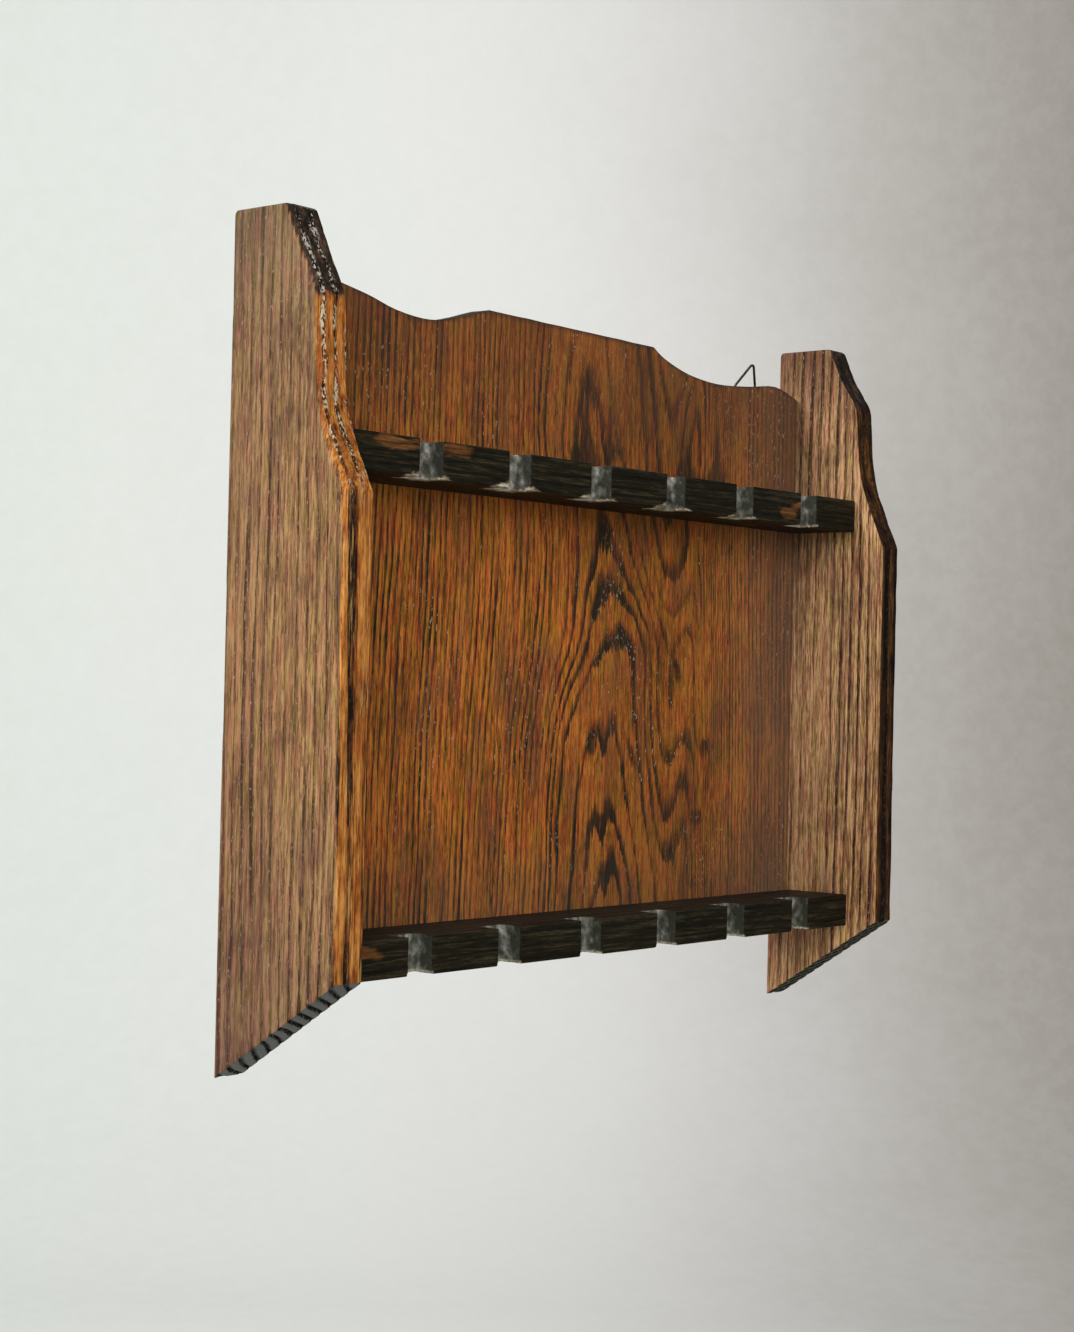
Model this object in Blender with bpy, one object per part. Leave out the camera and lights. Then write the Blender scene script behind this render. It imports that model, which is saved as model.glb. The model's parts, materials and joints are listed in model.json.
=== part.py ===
"""Wall rack for cues: two shaped oak sides, a back panel with a scalloped top, two notched
rails and a pair of triangle-ring hangers.

Rack coordinates, used for every size below, run X to the right from the left side's outer
face, Y into the wall from the rear edges of the sides, and Z up from the foot of the sides.
The empty "rack" then puts the world origin on the wall plane, midway between the hangers,
at the height where the two nails bear. Metres, +Z up.
"""

import math

import bmesh
import bpy
from mathutils import Matrix, Vector

GAP = 0.0003  # clearance between neighbouring pieces
EDGE_EASE = 0.0008  # softening of the boards' edges

# Carcass
WIDTH = 0.511
SIDE_THICKNESS = 0.019
PANEL_THICKNESS = 0.0143
PANEL_FOOT = 0.0502

# Side profile: distance forward of the wall plane, and corner radii
TOP_DEPTH = 0.0385
BROW_DEPTH = 0.0597
WAIST_DEPTH = 0.0628
SIDE_DEPTH = 0.0815
FOOT_RISE = 0.0538  # the foot is cut up to this height at the front
LEFT_HEIGHTS = {"top": 0.4320, "brow": 0.3880, "waist": 0.3280, "shoulder": 0.2903}
RIGHT_HEIGHTS = {"top": 0.4225, "brow": 0.3830, "waist": 0.3370, "shoulder": 0.2925}
SLOPE_HOLLOW = {"left": 0.0005, "right": 0.0022}  # how far the slope above the brow dips

# Scalloped top of the back panel: design points, joined by smooth curves
LEFT_SCALLOP = (
    (0.019, 0.4025), (0.045, 0.4062), (0.080, 0.4016), (0.105, 0.3961),
    (0.132, 0.3946), (0.155, 0.3993), (0.180, 0.4066),
)
RIGHT_SCALLOP = (
    (0.333, 0.4056), (0.345, 0.3998), (0.370, 0.3935), (0.400, 0.3910),
    (0.435, 0.3934), (0.466, 0.3967), (0.492, 0.3906),
)
CURVE_STEPS = 4

# Rails
RAIL_REACH = 0.0604  # front face, forward of the wall plane
RAIL_HEIGHT = 0.020
RAIL_FEET = {"upper": 0.3030, "lower": 0.0502}
NOTCH_COUNT = 6
NOTCH_FIRST = 0.0844
NOTCH_PITCH = 0.0706
NOTCH_WIDTH = 0.0176
NOTCH_DEPTH = 0.0132
NOTCH_CORNER = 0.0015

# Fasteners
RAIL_SCREW_X = [NOTCH_FIRST + (n + 0.5) * NOTCH_PITCH for n in (0, 2, 4)]
RAIL_SCREW_LENGTH = 0.038
RAIL_SCREW_RADIUS = 0.0020
RAIL_SCREW_HEAD = 0.0040
RAIL_SCREW_HEAD_DEPTH = 0.0026
RAIL_DOWEL_RADIUS = 0.0040
RAIL_DOWEL_DEPTHS = {"back": 0.0260, "front": 0.0480}
PANEL_DOWEL_RADIUS = 0.0030
PANEL_DOWEL_HEIGHTS = {"low": 0.095, "middle": 0.230, "high": 0.365}
DOWEL_LENGTH = 0.028
DOWEL_IN_SIDE = 0.011

# Triangle-ring hangers
HANGER_X = {"left": 0.0576, "right": 0.4534}
HINGE_HEIGHT = 0.3927
RING_LEAN = {"left": math.radians(4.5), "right": math.radians(21)}
RING_WIDTH = 0.0273
RING_HEIGHT = 0.0200
RING_CORNER = 0.0024
WIRE_RADIUS = 0.0008
LOOP_PLAY = 0.00035
SHEET = 0.0009  # thickness of the strap's sheet
STRAP_WIDTH = 0.011
STRAP_LENGTH = 0.032
STRAP_FOLD = 0.005  # length over which the sheet closes behind the loop
HANGER_SCREW_DROP = 0.0245
HANGER_SCREW_RADIUS = 0.0015
HANGER_SCREW_HEAD = 0.0030
HANGER_SCREW_HEAD_HEIGHT = 0.0017
HANGER_SCREW_LENGTH = 0.011

LOOP_RADIUS = WIRE_RADIUS + LOOP_PLAY + SHEET
HINGE_Y = GAP + LOOP_RADIUS
RING_HALF_ANGLE = math.atan(RING_WIDTH / 2 / RING_HEIGHT)
RING_CREST = RING_HEIGHT - RING_CORNER * (1 / math.sin(RING_HALF_ANGLE) - 1)
HANG_HEIGHT = HINGE_HEIGHT + RING_CREST - WIRE_RADIUS  # where a nail bears in an upright ring

MATERIALS = {
    "side_oak": ((0.155, 0.070, 0.032, 1.0), 0.55, 0.0),
    "panel_oak": ((0.170, 0.060, 0.020, 1.0), 0.50, 0.0),
    "dark_rail": ((0.022, 0.015, 0.011, 1.0), 0.55, 0.0),
    "dowel_beech": ((0.520, 0.340, 0.180, 1.0), 0.70, 0.0),
    "bronzed_steel": ((0.060, 0.045, 0.032, 1.0), 0.38, 1.0),
    "zinc_steel": ((0.420, 0.410, 0.390, 1.0), 0.35, 1.0),
}


def clear_scene():
    for obj in list(bpy.data.objects):
        bpy.data.objects.remove(obj, do_unlink=True)


def make_material(name, colour, roughness, metallic):
    material = bpy.data.materials.new(name)
    material.use_nodes = True
    shader = material.node_tree.nodes["Principled BSDF"]
    shader.inputs["Base Color"].default_value = colour
    shader.inputs["Roughness"].default_value = roughness
    shader.inputs["Metallic"].default_value = metallic
    return material


def add_object(name, data, material, rack, location=(0, 0, 0), tilt=0.0):
    """Links an object under the rack; tilt turns it forward about its own X axis."""
    obj = bpy.data.objects.new(name, data)
    bpy.context.scene.collection.objects.link(obj)
    obj.parent = rack
    obj.location = location
    obj.rotation_euler = (tilt, 0, 0)
    if material:
        data.materials.append(material)
    return obj


def hide_helper(obj):
    obj.hide_render = True
    obj.display_type = "WIRE"


def mesh_from(bm, name):
    bmesh.ops.recalc_face_normals(bm, faces=bm.faces)
    mesh = bpy.data.meshes.new(name)
    bm.to_mesh(mesh)
    bm.free()
    return mesh


def rounded_outline(corners, steps=4):
    """Closed outline through (a, b, radius) corners, each one rounded by an arc."""
    outline = []
    for n, (a, b, radius) in enumerate(corners):
        here = Vector((a, b))
        if radius == 0:
            outline.append(here)
            continue
        back = (Vector(corners[n - 1][:2]) - here).normalized()
        ahead = (Vector(corners[(n + 1) % len(corners)][:2]) - here).normalized()
        half = back.angle(ahead) / 2
        centre = here + (back + ahead).normalized() * radius / math.sin(half)
        start = here + back * radius / math.tan(half) - centre
        end = here + ahead * radius / math.tan(half) - centre
        sweep = start.angle_signed(end)
        for step in range(steps + 1):
            turn = Matrix.Rotation(-sweep * step / steps, 2)
            outline.append(centre + turn @ start)
    return outline


def smooth_curve(knots):
    """Catmull-Rom curve through the knots, with its end tangents along the end chords."""
    points = [Vector(knot) for knot in knots]
    padded = [points[0] * 2 - points[1]] + points + [points[-1] * 2 - points[-2]]
    curve = []
    for p0, p1, p2, p3 in zip(padded, padded[1:], padded[2:], padded[3:]):
        for step in range(CURVE_STEPS):
            t = step / CURVE_STEPS
            curve.append(
                0.5 * (2 * p1 + (p2 - p0) * t + (2 * p0 - 5 * p1 + 4 * p2 - p3) * t**2
                       + (3 * p1 - p0 - 3 * p2 + p3) * t**3)
            )
    return curve + [points[-1]]


def extruded(name, outline, axis, low, high):
    """Prism of a 2-D outline, extruded along X, Y or Z from low to high.

    The outline's two coordinates are the remaining axes, in X, Y, Z order.
    """
    slot = "XYZ".index(axis)
    bm = bmesh.new()
    corners = []
    for a, b in outline:
        place = [a, b]
        place.insert(slot, low)
        corners.append(bm.verts.new(place))
    base = bm.faces.new(corners)
    grown = bmesh.ops.extrude_face_region(bm, geom=[base])
    offset = Vector((0, 0, 0))
    offset[slot] = high - low
    moved = [item for item in grown["geom"] if isinstance(item, bmesh.types.BMVert)]
    bmesh.ops.translate(bm, verts=moved, vec=offset)
    return mesh_from(bm, name)


def ease_edges(obj, width=EDGE_EASE, segments=2):
    bevel = obj.modifiers.new("eased edges", "BEVEL")
    bevel.width = width
    bevel.segments = segments
    bevel.limit_method = "ANGLE"
    bevel.angle_limit = math.radians(40)


def add_rod(bm, start, direction, profile, sides):
    """Adds a turned solid: profile is (distance along, radius) from one end to the other."""
    turn = Vector(direction).to_track_quat("Z", "Y").to_matrix()
    rings = []
    for along, radius in profile:
        ring = []
        count = sides if radius > 0 else 1
        for n in range(count):
            angle = 2 * math.pi * n / sides
            local = Vector((radius * math.cos(angle), radius * math.sin(angle), along))
            ring.append(bm.verts.new(Vector(start) + turn @ local))
        rings.append(ring)
    for first, second in zip(rings, rings[1:]):
        for n in range(sides):
            quad = [first[n % len(first)], first[(n + 1) % sides % len(first)],
                    second[(n + 1) % sides % len(second)], second[n % len(second)]]
            bm.faces.new(list(dict.fromkeys(quad)))
    for ring in (rings[0], rings[-1]):
        if len(ring) > 1:
            bm.faces.new(ring)


def turned(name, profile, start, direction, material, rack, sides=16):
    """A turned piece whose object sits at its start point."""
    bm = bmesh.new()
    add_rod(bm, (0, 0, 0), direction, profile, sides)
    mesh = mesh_from(bm, name)
    mesh.shade_smooth()
    mesh.set_sharp_from_angle(angle=math.radians(35))
    return add_object(name, mesh, material, rack, location=start)


def drill(board, holes, rack, sides=16):
    """Cuts turned holes, each (start, direction, profile), out of a board."""
    bm = bmesh.new()
    for start, direction, profile in holes:
        add_rod(bm, start, direction, profile, sides)
    cutter = add_object(board.name + "_drill", mesh_from(bm, "drill"), None, rack)
    cutter.location = board.location
    hide_helper(cutter)
    cut_with(board, cutter, "DIFFERENCE")


def cut_with(obj, cutter, operation):
    cut = obj.modifiers.new(cutter.name, "BOOLEAN")
    cut.operation = operation
    cut.object = cutter


def blind_hole(radius, depth):
    """Drill profile: starts GAP outside the face and goes depth into it."""
    return ((-GAP, radius), (depth, radius))


def side_ends():
    """(name, inner face X, direction into the side) for the two sides."""
    return (
        ("left", SIDE_THICKNESS, -1),
        ("right", WIDTH - SIDE_THICKNESS, 1),
    )


def dowel_places():
    """(name, Y, Z, radius) of every dowel in one side."""
    places = []
    for rail, foot in RAIL_FEET.items():
        for where, depth in RAIL_DOWEL_DEPTHS.items():
            name = f"{rail}_rail_dowel_{where}"
            places.append((name, -depth, foot + RAIL_HEIGHT / 2, RAIL_DOWEL_RADIUS))
    for where, height in PANEL_DOWEL_HEIGHTS.items():
        places.append((f"panel_dowel_{where}", -PANEL_THICKNESS / 2, height, PANEL_DOWEL_RADIUS))
    return places


def side_outline(heights, hollow):
    """Profile of a side: straight back, sloped foot, scooped upper front.

    Each corner is (Y, Z, radius), from the foot up the back and down the front.
    """
    slope_middle = (TOP_DEPTH + BROW_DEPTH) / 2 - hollow
    return rounded_outline((
        (0, 0, 0.0004),
        (0, heights["top"], 0.0025),
        (-TOP_DEPTH, heights["top"], 0.0030),
        (-slope_middle, (heights["top"] + heights["brow"]) / 2, 0.0200),
        (-BROW_DEPTH, heights["brow"], 0.0200),
        (-WAIST_DEPTH, heights["waist"], 0.0900),
        (-SIDE_DEPTH, heights["shoulder"], 0.0040),
        (-SIDE_DEPTH, FOOT_RISE, 0.0020),
    ))


def build_sides(rack, material):
    faces = {"left": (0, SIDE_THICKNESS), "right": (WIDTH - SIDE_THICKNESS, WIDTH)}
    heights = {"left": LEFT_HEIGHTS, "right": RIGHT_HEIGHTS}
    for name, inner, inward in side_ends():
        outline = side_outline(heights[name], SLOPE_HOLLOW[name])
        mesh = extruded(name, outline, "X", *faces[name])
        side = add_object(f"{name}_side_panel", mesh, material, rack)
        ease_edges(side)
        holes = [
            ((inner, y, z), (inward, 0, 0), blind_hole(radius + GAP, DOWEL_IN_SIDE))
            for _, y, z, radius in dowel_places()
        ]
        drill(side, holes, rack)


def build_back_panel(rack, material):
    left, right = SIDE_THICKNESS + GAP, WIDTH - SIDE_THICKNESS - GAP
    top = smooth_curve(LEFT_SCALLOP) + smooth_curve(RIGHT_SCALLOP)
    top[0].x, top[-1].x = left, right
    outline = [Vector((left, PANEL_FOOT))] + top + [Vector((right, PANEL_FOOT))]
    mesh = extruded("back_panel", outline, "Y", -PANEL_THICKNESS, 0)
    panel = add_object("back_panel", mesh, material, rack)
    ease_edges(panel)
    holes = []
    for _, inner, inward in side_ends():
        for name, y, z, radius in dowel_places():
            if name.startswith("panel"):
                reach = DOWEL_LENGTH - DOWEL_IN_SIDE + 2 * GAP
                holes.append(((inner, y, z), (-inward, 0, 0), blind_hole(radius + GAP, reach)))
    for foot in RAIL_FEET.values():
        for x in RAIL_SCREW_X:
            holes.append(((x, 0, foot + RAIL_HEIGHT / 2), (0, -1, 0), countersunk_hole()))
    for x in HANGER_X.values():
        place = (x, 0, HINGE_HEIGHT - HANGER_SCREW_DROP)
        reach = HANGER_SCREW_LENGTH + GAP
        holes.append((place, (0, -1, 0), blind_hole(HANGER_SCREW_RADIUS + GAP, reach)))
    drill(panel, holes, rack)


def countersunk_hole():
    """Clearance hole through the panel, with a countersink at the back face."""
    wide, narrow = RAIL_SCREW_HEAD + GAP, RAIL_SCREW_RADIUS + GAP
    return (
        (-GAP, wide + GAP),
        (GAP, wide),
        (RAIL_SCREW_HEAD_DEPTH + 2 * GAP, narrow),
        (PANEL_THICKNESS + GAP, narrow),
    )


def build_rail(name, foot, rack, material):
    """A rail with open notches along its front edge, each one taking a cue's shaft."""
    left, right = SIDE_THICKNESS + GAP, WIDTH - SIDE_THICKNESS - GAP
    back, front = -PANEL_THICKNESS - GAP, -RAIL_REACH
    corners = [(left, back, 0), (left, front, 0)]
    for n in range(NOTCH_COUNT):
        middle = NOTCH_FIRST + n * NOTCH_PITCH
        near, far = middle - NOTCH_WIDTH / 2, middle + NOTCH_WIDTH / 2
        corners += [
            (near, front, 0),
            (near, front + NOTCH_DEPTH, NOTCH_CORNER),
            (far, front + NOTCH_DEPTH, NOTCH_CORNER),
            (far, front, 0),
        ]
    corners += [(right, front, 0), (right, back, 0)]
    outline = rounded_outline(corners, steps=3)
    mesh = extruded(name, outline, "Z", foot, foot + RAIL_HEIGHT)
    rail = add_object(name, mesh, material, rack)
    ease_edges(rail, segments=1)
    middle = foot + RAIL_HEIGHT / 2
    holes = []
    for x in RAIL_SCREW_X:
        reach = RAIL_SCREW_LENGTH - PANEL_THICKNESS
        narrow = RAIL_SCREW_RADIUS + GAP
        holes.append(((x, back, middle), (0, -1, 0), blind_hole(narrow, reach)))
    for _, inner, inward in side_ends():
        for depth in RAIL_DOWEL_DEPTHS.values():
            reach = DOWEL_LENGTH - DOWEL_IN_SIDE + 2 * GAP
            hole = blind_hole(RAIL_DOWEL_RADIUS + GAP, reach)
            holes.append(((inner, -depth, middle), (-inward, 0, 0), hole))
    drill(rail, holes, rack)


def build_dowels(rack, material):
    """Glued dowels that hold the sides to the rails and to the back panel."""
    for side, inner, inward in side_ends():
        for name, y, z, radius in dowel_places():
            chamfer = radius / 4
            profile = (
                (0, radius - chamfer), (chamfer, radius),
                (DOWEL_LENGTH - chamfer, radius), (DOWEL_LENGTH, radius - chamfer),
            )
            start = (inner + inward * (DOWEL_IN_SIDE - GAP), y, z)
            turned(f"{side}_{name}", profile, start, (-inward, 0, 0), material, rack, sides=12)


def cut_slot(screw, face, length, rack):
    """Cuts a screwdriver slot across a head whose flat face is face metres along +Y."""
    width, depth = 0.0008, 0.0009
    half = length / 2 + GAP
    outline = ((-half, -width / 2), (half, -width / 2), (half, width / 2), (-half, width / 2))
    mesh = extruded("slot", outline, "Y", face - depth, face + GAP)
    cutter = add_object(screw.name + "_slot", mesh, None, rack, location=screw.location)
    hide_helper(cutter)
    cut_with(screw, cutter, "DIFFERENCE")


def build_rail_screws(rack, material):
    """Countersunk screws driven from behind, through the panel and into each rail."""
    radius, head, length = RAIL_SCREW_RADIUS, RAIL_SCREW_HEAD, RAIL_SCREW_LENGTH
    profile = (
        (0, head), (GAP, head), (RAIL_SCREW_HEAD_DEPTH, radius),
        (length - 3 * radius, radius), (length - GAP, 0),
    )
    for rail, foot in RAIL_FEET.items():
        for n, x in enumerate(RAIL_SCREW_X, start=1):
            place = (x, -GAP, foot + RAIL_HEIGHT / 2)
            name = f"{rail}_rail_screw_{n}"
            screw = turned(name, profile, place, (0, -1, 0), material, rack)
            cut_slot(screw, 0, 2 * head, rack)


def build_hanger_strap(name, x, rack, material):
    """Sheet folded round the ring's base bar, and its two layers laid together below it."""
    doubled = -LOOP_RADIUS + 2 * SHEET
    bend = [
        (LOOP_RADIUS * math.cos(angle), LOOP_RADIUS * math.sin(angle))
        for angle in (math.pi * (1 - n / 12) for n in range(13))
    ]
    outline = [(-LOOP_RADIUS, -STRAP_LENGTH)] + bend
    outline += [(doubled, -STRAP_FOLD), (doubled, -STRAP_LENGTH)]
    half = STRAP_WIDTH / 2
    mesh = extruded(name, outline, "X", -half, half)
    strap = add_object(name, mesh, material, rack, location=(x, HINGE_Y, HINGE_HEIGHT))
    end_radius = 0.9 * half
    blank = rounded_outline((
        (-half, -STRAP_LENGTH, end_radius), (half, -STRAP_LENGTH, end_radius),
        (half, 2 * LOOP_RADIUS, 0), (-half, 2 * LOOP_RADIUS, 0),
    ), steps=6)
    mesh = extruded("blank", blank, "Y", -2 * LOOP_RADIUS, 2 * LOOP_RADIUS)
    cutter = add_object(name + "_blank", mesh, None, rack, location=strap.location)
    hide_helper(cutter)
    cut_with(strap, cutter, "INTERSECT")
    bore, clearance = WIRE_RADIUS + LOOP_PLAY, HANGER_SCREW_RADIUS + GAP
    bar_hole = ((0, bore), (STRAP_WIDTH + 2 * GAP, bore))
    screw_hole = ((0, clearance), (4 * LOOP_RADIUS, clearance))
    drill(strap, (
        ((-half - GAP, 0, 0), (1, 0, 0), bar_hole),
        ((0, 2 * LOOP_RADIUS, -HANGER_SCREW_DROP), (0, -1, 0), screw_hole),
    ), rack)


def build_hanger_ring(name, x, lean, rack, material):
    """Triangle of wire, its origin on the base bar, leaning forward against the panel's top."""
    half = RING_WIDTH / 2
    path = rounded_outline((
        (-half, 0, RING_CORNER), (half, 0, RING_CORNER), (0, RING_HEIGHT, RING_CORNER),
    ), steps=5)
    curve = bpy.data.curves.new(name, "CURVE")
    curve.dimensions = "3D"
    curve.bevel_depth = WIRE_RADIUS
    curve.bevel_resolution = 3
    spline = curve.splines.new("POLY")
    spline.points.add(len(path) - 1)
    for point, (a, b) in zip(spline.points, path):
        point.co = (a, 0, b, 1)
    spline.use_cyclic_u = True
    place = (x, HINGE_Y, HINGE_HEIGHT)
    add_object(name, curve, material, rack, location=place, tilt=lean)


def build_hanger_screw(name, x, rack, material):
    """Round-head screw through both layers of a strap, into the back panel."""
    seat = HINGE_Y - LOOP_RADIUS + 2 * SHEET + GAP
    head, height, radius = HANGER_SCREW_HEAD, HANGER_SCREW_HEAD_HEIGHT, HANGER_SCREW_RADIUS
    dome = [
        (height * (1 - math.cos(angle)), head * math.sin(angle))
        for angle in (math.pi / 2 * n / 5 for n in range(6))
    ]
    tip = height + seat + HANGER_SCREW_LENGTH
    profile = dome + [(height, radius), (tip - 3 * radius, radius), (tip, 0)]
    place = (x, seat + height, HINGE_HEIGHT - HANGER_SCREW_DROP)
    screw = turned(name, profile, place, (0, -1, 0), material, rack)
    cut_slot(screw, 0, 2 * head, rack)


def main():
    clear_scene()
    finishes = {name: make_material(name, *values) for name, values in MATERIALS.items()}
    rack = bpy.data.objects.new("rack", None)
    rack.location = (-WIDTH / 2, 0, -HANG_HEIGHT)
    bpy.context.scene.collection.objects.link(rack)
    build_sides(rack, finishes["side_oak"])
    build_back_panel(rack, finishes["panel_oak"])
    for name, foot in RAIL_FEET.items():
        build_rail(f"{name}_cue_rail", foot, rack, finishes["dark_rail"])
    build_dowels(rack, finishes["dowel_beech"])
    build_rail_screws(rack, finishes["zinc_steel"])
    for side, x in HANGER_X.items():
        build_hanger_strap(f"{side}_hanger_strap", x, rack, finishes["bronzed_steel"])
        build_hanger_ring(f"{side}_hanger_ring", x, RING_LEAN[side], rack, finishes["bronzed_steel"])
        build_hanger_screw(f"{side}_hanger_screw", x, rack, finishes["zinc_steel"])


main()
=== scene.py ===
"""Looks of the wall cue rack: carved oak boards, dark notched rails and bronzed hangers.

Each board is cut again from the outline of its CAD solid, sliced finely, and carved with the
relief of its own growth rings. The same rings drive the colour, as a vertex attribute.
"""

import itertools
import json
import math

import bmesh
import bpy
import numpy as np
from mathutils import Matrix, Vector


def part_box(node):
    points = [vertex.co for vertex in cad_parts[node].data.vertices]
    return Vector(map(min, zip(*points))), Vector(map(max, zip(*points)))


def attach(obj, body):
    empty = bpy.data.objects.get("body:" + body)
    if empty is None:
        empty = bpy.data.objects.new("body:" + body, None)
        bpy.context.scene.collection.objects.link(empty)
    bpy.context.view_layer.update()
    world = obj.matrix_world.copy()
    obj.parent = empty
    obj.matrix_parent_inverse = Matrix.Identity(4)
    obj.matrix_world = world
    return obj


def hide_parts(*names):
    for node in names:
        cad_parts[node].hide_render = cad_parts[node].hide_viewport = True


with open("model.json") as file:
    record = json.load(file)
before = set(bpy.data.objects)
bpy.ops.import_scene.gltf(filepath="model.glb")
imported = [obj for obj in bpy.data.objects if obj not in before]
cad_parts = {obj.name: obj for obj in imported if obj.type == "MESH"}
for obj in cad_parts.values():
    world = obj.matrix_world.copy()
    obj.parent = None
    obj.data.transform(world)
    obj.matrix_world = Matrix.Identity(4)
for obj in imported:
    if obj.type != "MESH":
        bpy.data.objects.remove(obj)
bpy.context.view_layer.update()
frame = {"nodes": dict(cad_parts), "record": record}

MM = 0.001
X, Y, Z = 0, 1, 2
CUT_SHARE = 0.12  # how far into a board its outline is read, clear of every bore
SIDE_ROUNDING = 1.2 * MM
PANEL_ROUNDING = 2.2 * MM
RAIL_ROUNDING = 0.8 * MM
SIDE_STEPS = ((X, 1.2), (Y, 0.8), (Z, 4.0))  # mm between the slices across each axis
PANEL_STEPS = ((Y, 1.8), (X, 1.06), (Z, 4.0))
RAIL_STEPS = ((Z, 1.0), (Y, 1.3), (X, 1.3))
SEAT_DEPTH = 3.4 * MM
SEAT_SINK = 1.2 * MM  # from a screw head's flat top to the middle of its seat
SEAT_TIP, SEAT_RIM = 0.55, 1.17  # radii of a seat's two ends, as shares of the head's
NOTCH_DEPTH = 13.2  # mm, from a rail's front to the rear walls of its notches


# ---------------------------------------------------------------- numbers and noise

def smooth(value, low, high):
    """0 below low, 1 above high, and an S-curve between."""
    t = np.clip((value - low) / (high - low), 0, 1)
    return t * t * (3 - 2 * t)


def noise(seed, *coords):
    """Smooth noise from -1 to 1, with one lattice cell to a unit of each coordinate."""
    size = 64
    values = np.random.default_rng(seed).uniform(-1, 1, (size,) * len(coords))
    floors = [np.floor(c).astype(int) for c in coords]
    fades = [smooth(c - f, 0, 1) for c, f in zip(coords, floors)]
    total = 0
    for corner in itertools.product((0, 1), repeat=len(coords)):
        weight, index = 1, []
        for step, floor, fade in zip(corner, floors, fades):
            weight = weight * (fade if step else 1 - fade)
            index.append((floor + step) % size)
        total = total + weight * values[tuple(index)]
    return total


# ---------------------------------------------------------------- board meshes

def axis_vector(axis):
    """The unit vector along an axis."""
    return Vector([float(n == axis) for n in range(3)])


def outline_of(node, axis):
    """Outline of a CAD board, as points in its two other axes, where a plane cuts it."""
    low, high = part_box(node)
    bm = bmesh.new()
    bm.from_mesh(frame["nodes"][node].data)
    bmesh.ops.remove_doubles(bm, verts=bm.verts, dist=1e-6)
    cut = bmesh.ops.bisect_plane(
        bm, geom=[*bm.verts, *bm.edges, *bm.faces],
        plane_co=low.lerp(high, CUT_SHARE), plane_no=axis_vector(axis),
    )
    links = {}
    for edge in cut["geom_cut"]:
        if isinstance(edge, bmesh.types.BMEdge):
            for vert in edge.verts:
                links.setdefault(vert, []).append(edge.other_vert(vert))
    loops = []
    while links:
        here = next(iter(links))
        loop = []
        while here in links:
            loop.append([c for n, c in enumerate(here.co) if n != axis])
            ends = links.pop(here)
            here = next((v for v in ends if v in links), None)
        loops.append(np.array(loop))
    bm.free()
    points = max(loops, key=lambda loop: np.ptp(loop, axis=0).prod())
    back, ahead = points - np.roll(points, 1, axis=0), np.roll(points, -1, axis=0) - points
    turn = back[:, 0] * ahead[:, 1] - back[:, 1] * ahead[:, 0]
    size = np.linalg.norm(back, axis=1) * np.linalg.norm(ahead, axis=1)
    return points[(np.abs(turn) > 0.005 * size) & (size > 0)]


def board_blank(node, axis, rounding):
    """The board as a prism of its CAD outline, with rounded edges."""
    low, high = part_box(node)
    bm = bmesh.new()
    base = []
    for pair in outline_of(node, axis):
        place = list(pair)
        place.insert(axis, low[axis])
        base.append(bm.verts.new(place))
    grown = bmesh.ops.extrude_face_region(bm, geom=[bm.faces.new(base)])
    moved = [item for item in grown["geom"] if isinstance(item, bmesh.types.BMVert)]
    bmesh.ops.translate(bm, verts=moved, vec=axis_vector(axis) * (high[axis] - low[axis]))
    bmesh.ops.recalc_face_normals(bm, faces=bm.faces)
    sharp = [edge for edge in bm.edges if edge.calc_face_angle(0) > math.radians(35)]
    bmesh.ops.bevel(
        bm, geom=sharp, offset=rounding, segments=3, profile=0.5, affect="EDGES",
        clamp_overlap=True,
    )
    return bm


def screw_seats(screws):
    """Cones that stand a little clear of countersunk heads whose flat tops face +Y, as a cutter."""
    bm = bmesh.new()
    turned = Matrix.Rotation(-math.pi / 2, 4, "X")
    for node in screws:
        low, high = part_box(node)
        middle = low.lerp(high, 0.5)
        place = Matrix.Translation((middle.x, high.y - SEAT_SINK, middle.z))
        head = (high.x - low.x) / 2
        bmesh.ops.create_cone(
            bm, cap_ends=True, segments=32, radius1=SEAT_TIP * head, radius2=SEAT_RIM * head,
            depth=SEAT_DEPTH, matrix=place @ turned,
        )
    return bm


def cut_away(bm, cutter_bm):
    """The first mesh less the second."""
    objects = []
    for name, source in (("blank", bm), ("cutter", cutter_bm)):
        mesh = bpy.data.meshes.new(name)
        source.to_mesh(mesh)
        source.free()
        objects.append(bpy.data.objects.new(name, mesh))
        bpy.context.scene.collection.objects.link(objects[-1])
    blank, cutter = objects
    cut = blank.modifiers.new("cut", "BOOLEAN")
    cut.object = cutter
    cut.operation = "DIFFERENCE"
    cut.solver = "EXACT"
    graph = bpy.context.evaluated_depsgraph_get()
    result = bmesh.new()
    result.from_mesh(blank.evaluated_get(graph).to_mesh())
    for obj in objects:
        mesh = obj.data
        bpy.data.objects.remove(obj)
        bpy.data.meshes.remove(mesh)
    return result


def dice(bm, axis, step):
    """Slices the mesh by planes across an axis, so that its surface can be carved."""
    places = [vert.co[axis] for vert in bm.verts]
    low, high = min(places), max(places)
    count = max(1, round((high - low) / step))
    normal = axis_vector(axis)
    faces = bm.faces[:]
    for n in range(1, count):
        place = low + (high - low) * n / count
        faces = [f for f in faces if max(v.co[axis] for v in f.verts) > place + 1e-6]
        edges = dict.fromkeys(e for f in faces for e in f.edges)
        verts = dict.fromkeys(v for f in faces for v in f.verts)
        cut = bmesh.ops.bisect_plane(
            bm, geom=[*faces, *edges, *verts], dist=1e-6,
            plane_co=normal * place, plane_no=normal,
        )
        faces = [item for item in cut["geom"] if isinstance(item, bmesh.types.BMFace)]


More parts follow.
